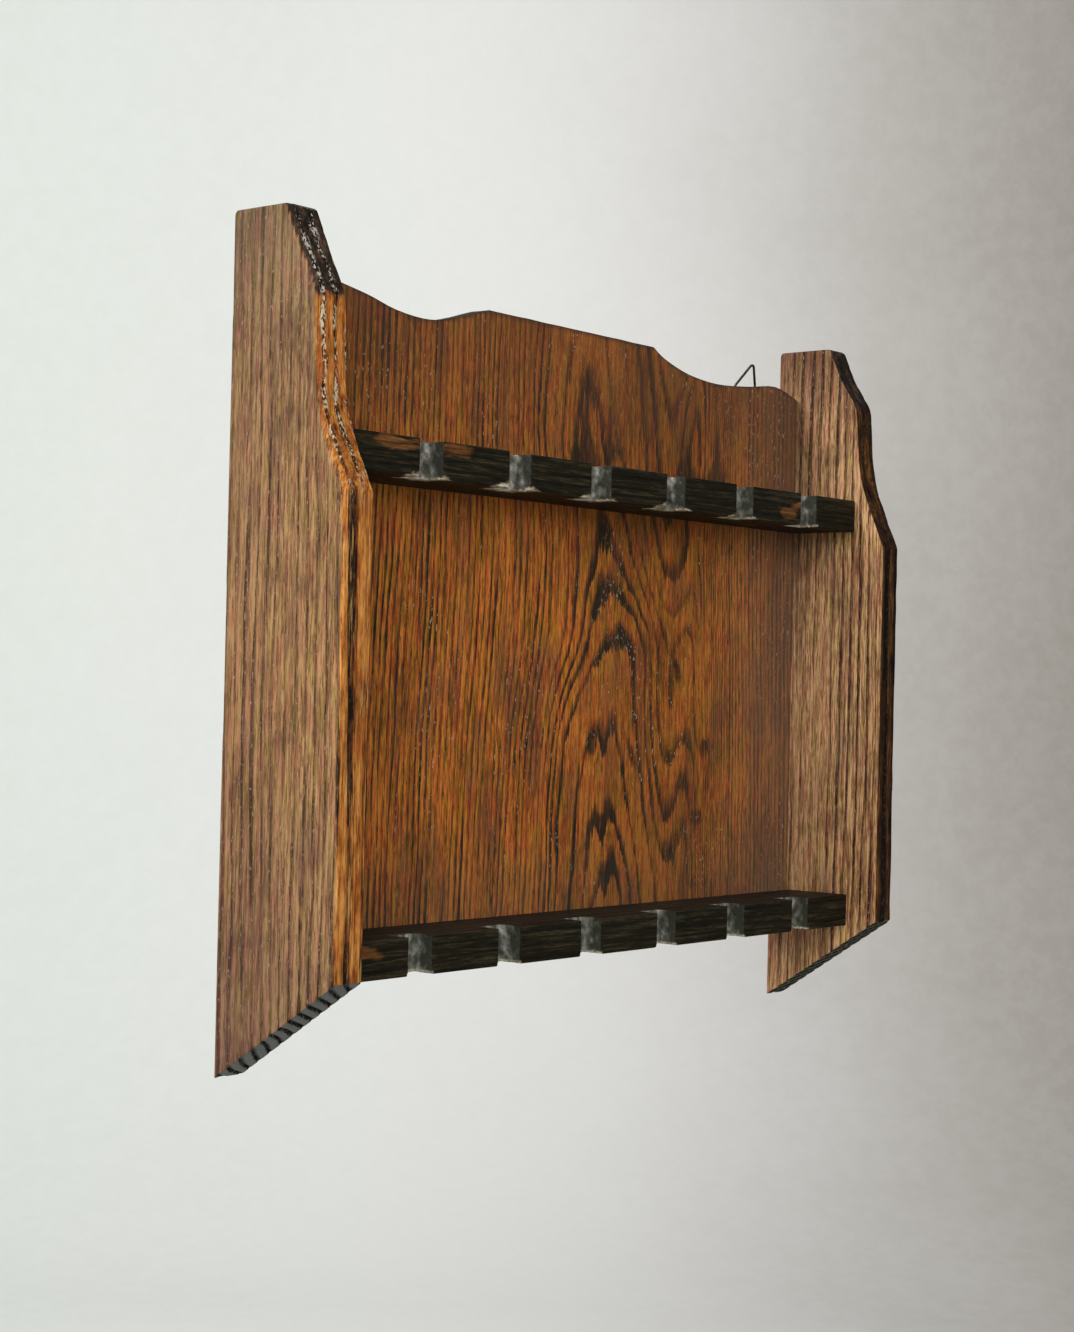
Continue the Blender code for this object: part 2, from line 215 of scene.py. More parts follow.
def piece_from(bm, name, material, node):
    """Makes the bmesh the rack's piece for a node, without the hairline gaps that slicing left."""
    rims = [edge for edge in bm.edges if edge.is_boundary]
    bmesh.ops.holes_fill(bm, edges=rims, sides=0)
    mesh = bpy.data.meshes.new(name)
    bm.to_mesh(mesh)
    bm.free()
    mesh.shade_smooth()
    piece = bpy.data.objects.new(name, mesh)
    bpy.context.scene.collection.objects.link(piece)
    mesh.materials.append(material)
    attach(piece, "rack")
    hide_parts(node)
    return piece


def read_vertices(mesh):
    """(places, normals) of the mesh's vertices."""
    co, normal = np.empty(len(mesh.vertices) * 3), np.empty(len(mesh.vertices) * 3)
    mesh.vertices.foreach_get("co", co)
    mesh.vertices.foreach_get("normal", normal)
    return co.reshape(-1, 3), normal.reshape(-1, 3)


def carve(mesh, depth, node):
    """Sinks each vertex along its normal, and keeps the board inside its CAD solid's box."""
    co, normal = read_vertices(mesh)
    co -= normal * np.clip(depth, 0, None)[:, None]
    co = np.clip(co, *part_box(node))
    mesh.vertices.foreach_set("co", co.ravel())
    mesh.update()


def write_attributes(mesh, **values):
    """Stores each named value on the mesh, either one for all vertices or one for each."""
    for name, value in values.items():
        attribute = mesh.attributes.new(name, "FLOAT", "POINT")
        attribute.data.foreach_set("value", np.full(len(mesh.vertices), value, np.float32))


# ---------------------------------------------------------------- growth rings
# A ring coordinate grows by one for each year's growth, and its whole numbers are the starts of
# the dark early wood. Tables are in millimetres from the panel's lower left corner.

SIDE_PITCH = 6.8  # mm across a side's face for each ring
RAIL_PITCH = 6.0  # about the same in a rail
RAIL_STRENGTH = 0.7  # darkness of a rail's early wood
RING_SLANT = 0.56  # mm along a side's face that count as much as 1 mm through it

HEART_MIDDLE = 274  # where the arched figure lies on average, right of the panel's left edge
SECOND_HEART = 366  # and the smaller one beside it
PANEL_HEART = (  # (height, distance right) of the middle of the arched figure
    (0, 279), (42, 278), (75, 272), (122, 271), (150, 276), (175, 285),
    (205, 276), (225, 272), (290, 252), (357, 249),
)
PANEL_RISE = (  # (height, how far from the middle ring the saw ran there)
    (0, 13), (42, 20.5), (75, 27), (122, 36), (175, 47), (207, 53.4),
    (224, 56.5), (260, 59), (330, 63), (357, 65),
)
PANEL_RINGS = (  # (distance from the heart, ring)
    (0, -1), (14, 0), (21.5, 1), (28, 2), (37, 3), (48, 4), (53.4, 5),
    (57, 6), (62, 7), (66.5, 8), (400, 83),
)
PANEL_STRENGTH = (  # (ring, darkness of its early wood), before the noise
    (-1, 0.7), (0, 0.65), (1, 0.8), (2, 0.8), (3, 0.85), (4, 0.8), (5, 0.60),
    (6, 0.65), (7, 0.60), (9, 0.50), (80, 0.50),
)
STAIN_TIPS = (  # (distance right, height of the tip, height of the base, spread at the base)
    (250, 337, 283, 14), (383, 314, 283, 8), (272, 316, 290, 2), (350, 300, 284, 6),
)
STAIN_MARKS = (  # (distance right, height, half length, half width, lean)
    (252, 166, 11, 2.6, 0.45), (300, 110, 9, 3.2, -0.5), (262, 116, 6, 5.0, 0.2),
    (272, 72, 4.0, 8.0, 0.0), (276, 40, 4.5, 7.5, 0.0), (345, 160, 8, 3.4, -0.3),
    (375, 113, 5, 6.0, 0.0), (368, 70, 5, 5.5, 0.0), (262, 196, 7, 3.0, 0.5),
)


def table(value, pairs):
    """The result at a value, on straight lines between (value, result) pairs."""
    places, results = zip(*pairs)
    return np.interp(value, places, results)


def soft_table(value, pairs, blur):
    """The same, averaged over blur to either side, which rounds the corners."""
    return sum(table(value + blur * k, pairs) for k in (-1, -0.5, 0, 0.5, 1)) / 5


def side_rings(across, y, z, lean, start, seed):
    """Ring coordinate at places in a side, given in mm: the rings slant through its thickness."""
    drift = 0.28 * noise(seed, y / 30 + across / 50, z / 170)
    sway = 0.13 * noise(seed + 1, y / 9, z / 45, across / 12)
    return (RING_SLANT * across - y) / SIDE_PITCH + lean * z + start + drift + sway


def panel_rings(u, v):
    """(ring, mm to a ring, darkness of its early wood) on the panel, u and v in mm."""
    heart = soft_table(v, PANEL_HEART, 12)
    away = u - HEART_MIDDLE - (heart - HEART_MIDDLE) * np.exp(-(((u - heart) / 70) ** 2))
    dip = 3.2 * np.exp(-(((away - 1.5 * noise(27, v / 25)) / 4.5) ** 2))
    rise = soft_table(v, PANEL_RISE, 10) + dip * (1 - smooth(v, 120, 150))
    rho = np.sqrt(away**2 + rise**2)
    second = np.exp(-(((u - SECOND_HEART - 5 * noise(24, v / 60)) / 25) ** 2))
    rho = rho - second * (33 + 3 * noise(28, v / 45))
    rho = rho + 1.6 * noise(25, u / 38, v / 150) + 1.0 * noise(26, u / 13, v / 60)
    rho = rho + 0.45 * noise(29, u / 5, v / 30)
    ring = table(rho, PANEL_RINGS)
    pitch = (table(rho + 2, PANEL_RINGS) - table(rho - 2, PANEL_RINGS)) / 4
    outer = smooth(ring, 6, 9)
    strength = table(ring, PANEL_STRENGTH) * (1 + 0.55 * outer * noise(33, ring / 1.3 + 7))
    strength = strength * (0.85 + 0.45 * noise(34, u / 7, v / 30))
    crown = np.exp(-((away / 13) ** 2))
    strength = strength * (1 + 0.8 * crown * (1 - smooth(ring, 5, 8)))
    return ring, 1 / pitch, np.clip(strength, 0.05, 2.0)


def panel_stains(u, v):
    """Dark stained marks on the panel, u and v in mm: tips of the arches, and short smudges."""
    ragged = 1 + 0.5 * noise(35, u / 3, v / 9)
    stains = np.zeros(len(u))
    for place, tip, base, spread in STAIN_TIPS:
        down = np.clip((tip - v) / (tip - base), 0, 1)
        half = (1.2 + 2.8 * down + spread * down**8) * ragged
        aside = np.abs(u - place - 1.5 * noise(36, v / 12))
        mark = 1 - smooth(aside, 0.6 * half, 1.3 * half)
        mark = mark * smooth(down, 0, 0.12) * smooth(v, base - 16, base - 4)
        stains = np.maximum(stains, mark)
    for place, height, long, wide, lean in STAIN_MARKS:
        right, up = u - place, v - height
        away = ((right - lean * up) / wide) ** 2 + (up / long) ** 2
        stains = np.maximum(stains, 1 - smooth(away * ragged, 0.4, 1.4))
    return stains


# ---------------------------------------------------------------- boards

FOOT_TOP = 75  # mm above a side's lowest point, where its sawn foot ends
FRONT_LIMIT = -20 * MM  # a side's outline ahead of this Y is its front


def wear_arris(co, outer_x, sign, front_of, radius):
    """Rounds the outer front corner of a side by each vertex's radius, and says which moved."""
    across = sign * (co[:, X] - outer_x)
    behind = co[:, Y] - front_of(co[:, Z])
    near = (across < radius) & (behind < radius) & (behind > -0.5 * MM)
    turn = np.clip(0.5 + (across - behind) / (2 * radius), 0, 1) * math.pi / 2
    rounded_x = outer_x + sign * radius * (1 - np.cos(turn))
    rounded_y = co[:, Y] - behind + radius * (1 - np.sin(turn))
    co[:, X] = np.where(near, rounded_x, co[:, X])
    co[:, Y] = np.where(near, rounded_y, co[:, Y])
    return near


def front_profile(node):
    """The Y of a side's front at a height, read from its CAD outline."""
    outline = outline_of(node, X)
    forward = outline[outline[:, 0] < FRONT_LIMIT]
    order = np.argsort(forward[:, 1])
    places, depths = forward[order, 1], forward[order, 0]
    return lambda z: np.interp(z, places, depths)


def side_relief(look, early, front, foot, crest, across, y, z):
    """Depth of a side's relief: brushed early wood and fibres, tool strokes in front, sawn foot."""
    seed = look["seed"]
    face = 1 - np.maximum.reduce([front, foot, crest])
    fibres = noise(seed + 2, y / 1.6, across / 3, z / 60)
    strokes = noise(seed + 3, across / 7, z / 11)
    depth = face * (0.18 * early + 0.05 * (1 + fibres)) * MM
    depth += front * (0.25 * early + 0.18 * (1 + strokes)) * MM
    depth += foot * (1.50 * early + 0.1) * MM
    return depth


def side_strength(look, ring, front, foot, across, y, z):
    """How dark a side's early wood is: it varies by ring and along the grain."""
    seed = look["seed"]
    strength = 0.62 + 0.5 * noise(seed + 6, ring / 1.7, z / 200)
    strength = strength * (0.85 + 0.4 * noise(seed + 8, y / 8, z / 35))
    strength = np.where(front > 0.5, 1.6 - look["fade"] * smooth(across, 11, 14), strength)
    return np.clip(np.maximum(strength, 1.4 * foot), 0.05, 1.6)


def build_side(name, outer_x, sign, look, material):
    """A side board: its rings' relief, a hand-shaped front edge and a sawn, banded foot."""
    node = f"{name}_side_panel"
    seed = look["seed"]
    bm = board_blank(node, X, SIDE_ROUNDING)
    for axis, step in SIDE_STEPS:
        dice(bm, axis, step * MM)
    piece = piece_from(bm, f"{name}_side_board", material, node)
    mesh = piece.data
    co, normal = read_vertices(mesh)
    low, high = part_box(node)
    across = sign * (co[:, X] - outer_x) / MM
    y = co[:, Y] / MM
    z = (co[:, Z] - low.z) / MM
    foot = smooth(-normal[:, Z], 0.3, 0.7) * (z < FOOT_TOP)
    crest = smooth(normal[:, Z], 0.6, 0.9)
    front = smooth(-normal[:, Y], 0.25, 0.60) * (1 - foot)
    profile = front_profile(node)
    worn = wear_arris(co, outer_x, sign, profile, table(z, look["wear"]) * MM)
    rolled = worn & (across < 9) & (co[:, Y] < profile(co[:, Z]) + 3 * MM)
    front = np.where(rolled, np.maximum(front, 0.999), front)
    mesh.vertices.foreach_set("co", co.ravel())
    mesh.update()
    ring = side_rings(across, y, z, look["lean"], look["start"], seed)
    early = 1 - smooth(ring - np.floor(ring), 0.05, 0.45)
    carve(mesh, side_relief(look, early, front, foot, crest, across, y, z), node)
    scoop = smooth(z, look["shoulder"] - 12, look["shoulder"] + 14) * front
    wavy = look["brow"] + 3 * noise(seed + 9, across / 3.5, y / 40)
    write_attributes(
        mesh, ring=ring, pitch=SIDE_PITCH, across=across, rearward=smooth(y, -70, 0),
        strength=side_strength(look, ring, front, foot, across, y, z),
        front=front, end=np.maximum(foot, crest), scoop=scoop, chalk=look["chalk"] * scoop,
        slope=smooth(z, wavy - 3, wavy + 1) * front, height=z / ((high.z - low.z) / MM),
    )
    return piece


def build_panel(material):
    """The back panel, with the relief of its cathedral figure and a softened scalloped top."""
    bm = board_blank("back_panel", Y, PANEL_ROUNDING)
    screws = [name for name in frame["nodes"] if "rail_screw" in name]
    bm = cut_away(bm, screw_seats(screws))
    for axis, step in PANEL_STEPS:
        dice(bm, axis, step * MM)
    piece = piece_from(bm, "panel_board", material, "back_panel")
    mesh = piece.data
    co, normal = read_vertices(mesh)
    low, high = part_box("back_panel")
    u = (co[:, X] - low.x) / MM
    v = (co[:, Z] - low.z) / MM
    ring, pitch, strength = panel_rings(u, v)
    phase = ring - np.floor(ring)
    early = (1 - smooth(phase * pitch, 0.3, 2.4)) * np.minimum(strength, 1)
    end = smooth(np.abs(normal[:, Z]), 0.02, 0.20)
    fibres = noise(31, u / 1.8, v / 70)
    waver = noise(32, u / 14, co[:, Y] / (9 * MM))
    depth = (1 - end) * (0.16 * early + 0.04 * (1 + fibres)) * MM
    depth += end * 0.15 * (1 + waver) * MM
    carve(mesh, depth, "back_panel")
    facing = co[:, Y] < (low.y + high.y) / 2
    write_attributes(
        mesh, ring=ring, pitch=pitch, strength=strength, end=end,
        stain=panel_stains(u, v) * (1 - end) * facing,
        height=v / ((high.z - low.z) / MM), width=u / ((high.x - low.x) / MM),
    )
    return piece


def notches_of(node):
    """(left, right) X of each notch: the corners on the outline's front edge, less its two ends."""
    low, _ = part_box(node)
    front = sorted(x for x, y in outline_of(node, Z) if y < low.y + 0.1 * MM)
    return list(zip(front[1::2], front[2::2]))


def torn_wood(co, low, left, right, reach, seed):
    """How much of the dark surface broke away round a notch's lower rim, about reach mm wide."""
    x, y, z = co[:, X] / MM, (co[:, Y] - low.y) / MM, (co[:, Z] - low.z) / MM
    left, right = left / MM, right / MM
    ragged = 1 + 0.45 * noise(seed, x / 1.8, y / 2.4, z / 1.2)
    along = (x - (left + right) / 2 + 0.25 * reach) / ((right - left) / 2 + 0.85 * reach)
    taper = np.clip(1 - np.abs(along) ** 1.4, 0, 1)
    tall = taper * ragged
    lip = 1 - smooth(z, 0.55 * tall * (0.8 + 0.25 * reach), tall * (1.0 + 0.30 * reach) + 0.01)
    shallow = 1 - smooth(y, (1.5 + 0.5 * reach) * taper, (2.5 + 0.8 * reach) * taper + 0.1)
    lip = lip * (taper > 0) * shallow
    beside = np.maximum(np.maximum(left - x, x - right), y - NOTCH_DEPTH)
    rim = 1 - smooth(beside, 0.16 * reach * ragged, 0.34 * reach * ragged)
    rim = rim * (1 - smooth(z, 0.6, 1.6)) * (y < NOTCH_DEPTH + 0.5 * reach)
    return np.maximum(lip, rim)


def worn_wood(co, low, high, patches):
    """How far a rail's dark surface wore off, which is most in the middle of each patch."""
    worn = np.zeros(len(co))
    for place, height, length, tall in patches:
        along = ((co[:, X] - low.x) / MM - place) / length
        up = ((co[:, Z] - low.z) / (high.z - low.z) - height) / tall
        worn = np.maximum(worn, np.exp(-(along**2) - up**2))
    return worn


def build_rail(name, torn, worn_patches, seed, material):
    """A notched rail. torn gives how far the wood broke out under each notch, in mm."""
    node = f"{name}_cue_rail"
    bm = board_blank(node, Z, RAIL_ROUNDING)
    for axis, step in RAIL_STEPS:
        dice(bm, axis, step * MM)
    piece = piece_from(bm, f"{name}_rail_board", material, node)
    mesh = piece.data
    co, normal = read_vertices(mesh)
    low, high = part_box(node)
    x, y, z = co[:, X] / MM, co[:, Y] / MM, co[:, Z] / MM
    ring = -y / 9 + z / 5 + 0.8 * noise(seed, x / 70, y / 12, z / 8)
    phase = ring - np.floor(ring)
    early = 1 - smooth(phase, 0.05, 0.45)
    behind = y - low.y / MM
    inside = np.zeros(len(co))
    bare = np.zeros(len(co))
    for n, (left, right) in enumerate(notches_of(node)):
        wall = smooth(co[:, X], left - 0.4 * MM, left)
        wall = wall * (1 - smooth(co[:, X], right, right + 0.4 * MM))
        wall = wall * smooth(behind, 0.4, 1.2) * (behind < NOTCH_DEPTH + 0.7)
        inside = np.maximum(inside, wall)
        bare = np.maximum(bare, torn_wood(co, low, left, right, torn[n], seed + 7 + n))
    fibres = noise(seed + 2, x / 40, y / 1.5, z / 1.5)
    splits = noise(seed + 3, x / 6, y / 1.1, z / 1.5)
    back_edge = smooth(y, high.y / MM - 1.4, high.y / MM - 0.8)
    back_edge = back_edge * smooth(z, high.z / MM - 0.9, high.z / MM)
    bare = np.maximum(bare, 0.35 * back_edge)
    depth = (0.10 * early + 0.06 * (1 + fibres)) * MM + bare * (0.55 + 0.45 * splits) * MM
    worn = worn_wood(co, low, high, worn_patches)
    carve(mesh, depth, node)
    write_attributes(
        mesh, ring=ring, pitch=RAIL_PITCH, strength=RAIL_STRENGTH, inside=inside,
        deep=smooth(behind, 1, 13), bare=bare, worn=worn, upward=smooth(normal[:, Z], 0.3, 0.8),
    )
    return piece


# ---------------------------------------------------------------- materials

class Graph:
    """A material's node tree, with short calls for the nodes used here."""

    def __init__(self, name, roughness, metallic=0.0, specular=0.5):
        self.material = bpy.data.materials.new(name)
        self.material.use_nodes = True
        self.tree = self.material.node_tree
        self.shader = self.tree.nodes["Principled BSDF"]
        self.shader.inputs["Roughness"].default_value = roughness
        self.shader.inputs["Metallic"].default_value = metallic
        self.shader.inputs["Specular IOR Level"].default_value = specular
        self.place = self.add("ShaderNodeTexCoord").outputs["Object"]

    def add(self, kind, **settings):
        node = self.tree.nodes.new(kind)
        for name, value in settings.items():
            setattr(node, name, value)
        return node

    def feed(self, socket, value):
        """Links the value to the socket if it is another socket, and otherwise sets it."""
        if isinstance(value, bpy.types.NodeSocket):
            self.tree.links.new(value, socket)
        else:
            socket.default_value = value

    def math(self, operation, a, b=0.0, c=0.0, clamp=False):
        node = self.add("ShaderNodeMath", operation=operation, use_clamp=clamp)
        for socket, value in zip(node.inputs, (a, b, c)):
            self.feed(socket, value)
        return node.outputs[0]

    def total(self, start, *shares):
        """start plus each (value, factor), where a value from 0 to 1 swings about its middle."""
        result = start
        for value, factor in shares:
            result = self.math("ADD", result, self.math("MULTIPLY_ADD", value, factor, -factor / 2))
        return result

    def noise(self, cells, detail=2.0, roughness=0.5):
        """Noise with that many cells to a metre along X, Y and Z."""
        stretch = self.add("ShaderNodeVectorMath", operation="MULTIPLY")
        self.feed(stretch.inputs[0], self.place)
        stretch.inputs[1].default_value = cells
        node = self.add("ShaderNodeTexNoise")
        self.feed(node.inputs["Vector"], stretch.outputs[0])
        node.inputs["Scale"].default_value = 1.0
        node.inputs["Detail"].default_value = detail
        node.inputs["Roughness"].default_value = roughness
        return node.outputs["Fac"]

    def attribute(self, name):
        return self.add("ShaderNodeAttribute", attribute_name=name).outputs["Fac"]

    def step(self, value, low, high):
        """0 below low, 1 above high, smooth between; low may be above high, for a falling step."""
        node = self.add("ShaderNodeMapRange", interpolation_type="SMOOTHSTEP")
        for name, number in (("Value", value), ("From Min", low), ("From Max", high)):
            self.feed(node.inputs[name], number)
        return node.outputs["Result"]

    def ramp(self, value, stops, between="LINEAR"):
        """Colours along a value from 0 to 1: stops are (position, (r, g, b))."""
        node = self.add("ShaderNodeValToRGB")
        node.color_ramp.interpolation = between
        self.feed(node.inputs["Fac"], value)
        points = node.color_ramp.elements
        while len(points) < len(stops):
            points.new(0.5)
        for point, (position, colour) in zip(points, stops):
            point.position = position
            point.color = (*colour, 1.0)
        return node.outputs["Color"]

    def mix(self, share, a, b, blend="MIX"):
        node = self.add("ShaderNodeMix", data_type="RGBA", blend_type=blend)
        self.feed(node.inputs["Factor"], share)
        for name, value in (("A", a), ("B", b)):
            socket = next(s for s in node.inputs if s.name == name and s.type == "RGBA")
            self.feed(socket, value if isinstance(value, bpy.types.NodeSocket) else (*value, 1.0))
        return next(s for s in node.outputs if s.type == "RGBA")

    def finish(self, colour, height, bump, roughness=None):
        """Joins the colour, the bump, its height in metres, and any roughness to the shader."""
        self.feed(self.shader.inputs["Base Color"], colour)
        if roughness is not None:
            self.feed(self.shader.inputs["Roughness"], roughness)
        node = self.add("ShaderNodeBump")
        node.inputs["Strength"].default_value = 1.0
        node.inputs["Distance"].default_value = bump
        self.feed(node.inputs["Height"], height)
        self.feed(self.shader.inputs["Normal"], node.outputs["Normal"])
        return self.material


class Oak(Graph):
    """A graph with the parts that every oak board shares; its grain runs along an axis."""

    def __init__(self, name, along, specular, warp=0.30, ragged=0.34):
        super().__init__(name, 0.55, specular=specular)
        self.along = along
        drift = self.math("MULTIPLY_ADD", self.grained(110, 10, 3.0), warp, -warp / 2)
        teeth = self.math("MULTIPLY_ADD", self.grained(560, 18, 2.0), ragged, -ragged / 2)
        ring = self.math("ADD", self.attribute("ring"), self.math("ADD", drift, teeth))
        year = self.math("FRACT", ring)
        past = self.math("MULTIPLY", year, self.attribute("pitch"))
        reach = self.math("MULTIPLY_ADD", self.attribute("strength"), 2.0, 1.1)
        band = self.step(past, reach, 0.4)
        lead = self.step(year, 0.93, 1.0)
        dark = self.math("MINIMUM", self.attribute("strength"), 1.1)
        self.early = self.math("MULTIPLY", self.math("MAXIMUM", band, lead), dark)
        self.fibres = self.grained(520, 20, 3.0, 0.66)
        self.threads = self.grained(1250, 110, 3.0, 0.70)
        self.blotches = self.grained(34, 9, 3.0)
        dashes = self.grained(1250, 120, 2.0, 0.6)
        self.pores = self.step(self.math("MULTIPLY_ADD", self.early, 0.12, dashes), 0.62, 0.70)
        specks = self.grained(760, 330, 1.0)
        self.specks = self.step(self.math("MULTIPLY_ADD", self.early, 0.10, specks), 0.70, 0.75)

    def grained(self, across, lengthwise, detail=2.0, roughness=0.5):
        """Noise drawn out along the grain, with those numbers of cells to a metre."""
        cells = tuple(lengthwise if n == self.along else across for n in range(3))
        return self.noise(cells, detail, roughness)

    def tinted(self, colour, amount):
        """Shifts the colour a little to red or to olive, streak by streak."""
        hue = self.grained(270, 42, 3.0)
        red = self.math("MULTIPLY", self.step(hue, 0.50, 0.63), amount)
        olive = self.math("MULTIPLY", self.step(hue, 0.50, 0.37), amount)
        colour = self.mix(red, colour, (1.0, 0.72, 0.80), "MULTIPLY")
        return self.mix(olive, colour, (0.80, 0.94, 0.55), "MULTIPLY")

    def strands(self, spacing, place, full, none):
        """1 along lines that run up a board's edge, spacing mm apart, and 0 between them."""
        sway = self.math("MULTIPLY_ADD", self.noise((60, 60, 30), 4.0, 0.65), 1.4, -0.70)
        lane = self.math("ADD", self.math("DIVIDE", self.attribute("across"), spacing), sway)
        off = self.math("ABSOLUTE", self.math("SUBTRACT", self.math("FRACT", lane), place))
        return self.step(off, none, full)

    def relief(self):
        """Bump height: the pores and the early wood lie low."""
        low = self.math("MULTIPLY_ADD", self.early, -0.5, self.fibres)
        return self.math("MULTIPLY_ADD", self.pores, -0.8, low)

    def gloss(self, smoothest):
        """Roughness, which grows on raised fibres and in the pores."""
        fibrous = self.math("MULTIPLY_ADD", self.fibres, 0.2, smoothest)
        return self.math("MULTIPLY_ADD", self.pores, 0.22, fibrous)


BLACK = (0.006, 0.005, 0.004)
CHARRED = ((0.1, BLACK), (0.6, (0.018, 0.012, 0.008)), (1.0, (0.075, 0.045, 0.030)))
SAWN = ((0.10, (0.078, 0.082, 0.072)), (0.40, (0.038, 0.040, 0.034)), (0.80, (0.007, 0.007, 0.006)))
STRAND_SPACING = 8.8  # mm between the chalky lines that run up a side's front edge
STRAND_PLACE = 0.364  # where they lie, as a share of that spacing


def side_face_colour(g, paint):
    """The brushed tan faces, darker to the rear, with violet and brown smudges, and painted light
    and shade that change with the height.
    """
    contrast = paint["contrast"]
    tone = g.total(
        0.42, (g.early, -0.70 * contrast), (g.fibres, 1.65 * contrast),
        (g.threads, 1.80 * contrast), (g.blotches, 0.65),
    )
    tone = g.math("MULTIPLY_ADD", g.pores, -0.25, tone, clamp=True)
    face = g.ramp(tone, paint["tans"])
    violet = g.step(g.grained(75, 22, 3.0), 0.50, 0.66)
    face = g.mix(g.math("MULTIPLY", violet, 0.30), face, (0.112, 0.056, 0.044))
    bright = g.step(g.grained(900, 26, 2.0), 0.58, 0.66)
    face = g.mix(g.math("MULTIPLY", bright, 0.75 * contrast - 0.30), face, paint["pale"])
    smudges = g.step(g.noise((30, 30, 42), 4.0), 0.56, 0.70)
    face = g.mix(g.math("MULTIPLY", smudges, 0.30), face, (0.070, 0.036, 0.024))
    face = g.mix(g.math("MULTIPLY", g.attribute("rearward"), 0.30), face, (0.150, 0.078, 0.052))
    face = g.tinted(face, 0.55)
    # painted light and shade: the face is multiplied by a tint read from its height
    return g.mix(1.0, face, g.ramp(g.attribute("height"), paint["painted_light_by_height"]), "MULTIPLY")


def side_edge_colour(g, paint):
    """The stained front edge: broken dark lines below, chalky strands above, charred at the top."""
    below = g.math("SUBTRACT", 1.0, g.attribute("scoop"))
    broken = g.step(g.noise((130, 130, 30), 4.0, 0.7), 0.40, 0.60)
    broken = g.math("MULTIPLY_ADD", broken, 0.60, 0.38)
    lines = g.math("MULTIPLY", g.early, g.math("MULTIPLY", below, broken))
    strands = g.strands(STRAND_SPACING, STRAND_PLACE, 0.06, 0.26)
    strands = g.math("MULTIPLY", strands, g.attribute("scoop"))
    dark = g.math("MAXIMUM", lines, g.math("MULTIPLY", strands, 0.45))
    patches = g.noise((110, 110, 38), 4.0, 0.6)
    tone = g.total(0.66, (g.fibres, 1.2), (g.threads, 1.2), (patches, 1.2))
    tone = g.math("MULTIPLY_ADD", dark, -0.90, tone)
    edge = g.ramp(tone, paint["edge"])
    rust = g.step(g.noise((160, 160, 60), 3.0), 0.48, 0.60)
    edge = g.mix(g.math("MULTIPLY", rust, 0.60), edge, (0.76, 0.50, 0.55), "MULTIPLY")
    golden = g.step(g.grained(620, 24, 4.0, 0.7), 0.54, 0.64)
    golden = g.math("MULTIPLY", golden, g.math("MULTIPLY", below, paint["golden"]))
    edge = g.mix(golden, edge, (0.640, 0.350, 0.110))
    strokes = g.math("MULTIPLY", g.noise((90, 90, 70), 2.0), 0.5)
    strokes = g.math("ADD", g.noise((950, 950, 380), 2.0), strokes)
    chalk = g.strands(STRAND_SPACING, STRAND_PLACE, 0.06, 0.30)
    chalk = g.math("MULTIPLY", chalk, g.step(strokes, 0.77, 0.85))
    chalk = g.math("MULTIPLY", chalk, g.attribute("chalk"))
    edge = g.mix(chalk, edge, (0.46, 0.37, 0.24))
    charred = g.mix(g.math("MULTIPLY", chalk, 0.95), g.ramp(tone, CHARRED), (0.42, 0.37, 0.31))
    return g.mix(g.attribute("slope"), edge, charred)


def make_side_oak(name, paint):
    """Brushed oak of a side: tan faces, a stained front edge with chalk in its pores, sawn ends."""
    g = Oak(name, Z, 0.07)
    colour = g.mix(g.attribute("front"), side_face_colour(g, paint), side_edge_colour(g, paint))
    sawn = g.ramp(g.total(0.33, (g.early, 1.1), (g.noise((900, 900, 900), 2.0), 0.7)), SAWN)
    sawn = g.mix(1.0, sawn, paint["sawn"], "MULTIPLY")
    colour = g.mix(g.attribute("end"), colour, sawn)
    scarce = g.math("MULTIPLY_ADD", g.attribute("front"), -0.28, 0.35)
    colour = g.mix(g.math("MULTIPLY", g.specks, scarce), colour, (0.34, 0.27, 0.20))
    dull = g.math("MULTIPLY", g.attribute("front"), paint["dull"])
    dull = g.math("MAXIMUM", g.attribute("slope"), dull)
    return g.finish(colour, g.relief(), 0.00035, g.math("MAXIMUM", g.gloss(0.42), dull))


PANEL_BROWNS = (
    (0.0, (0.012, 0.011, 0.007)), (0.25, (0.052, 0.024, 0.010)), (0.50, (0.152, 0.050, 0.011)),
    (0.75, (0.292, 0.090, 0.012)), (1.0, (0.500, 0.175, 0.028)),
)
PANEL_SAWN = ((0.1, (0.030, 0.022, 0.014)), (0.9, (0.008, 0.006, 0.004)))


def panel_with_painted_shade(g, colour):
    """Paints shade on the panel, greying and darkening it towards its right, foot and top, and
    darkens it down its arched figure, whose wood is darker.
    """
    width, height = g.attribute("width"), g.attribute("height")
    aside = g.math("ABSOLUTE", g.math("SUBTRACT", width, 0.68))
    for amount, share, shade in (
        # the first, second and fourth rows are painted shade; the third is the arched figure's own
        # darker wood
        (g.step(width, 0.74, 1.0), 0.58, (0.104, 0.076, 0.056)),
        (g.step(height, 0.22, 0.02), 0.34, (0.070, 0.062, 0.050)),
        (g.step(aside, 0.20, 0.04), 0.26, (0.055, 0.026, 0.010)),
        (g.step(height, 0.66, 0.95), 0.45, (0.072, 0.034, 0.018)),
    ):
        colour = g.mix(g.math("MULTIPLY", amount, share), colour, shade)
    return colour


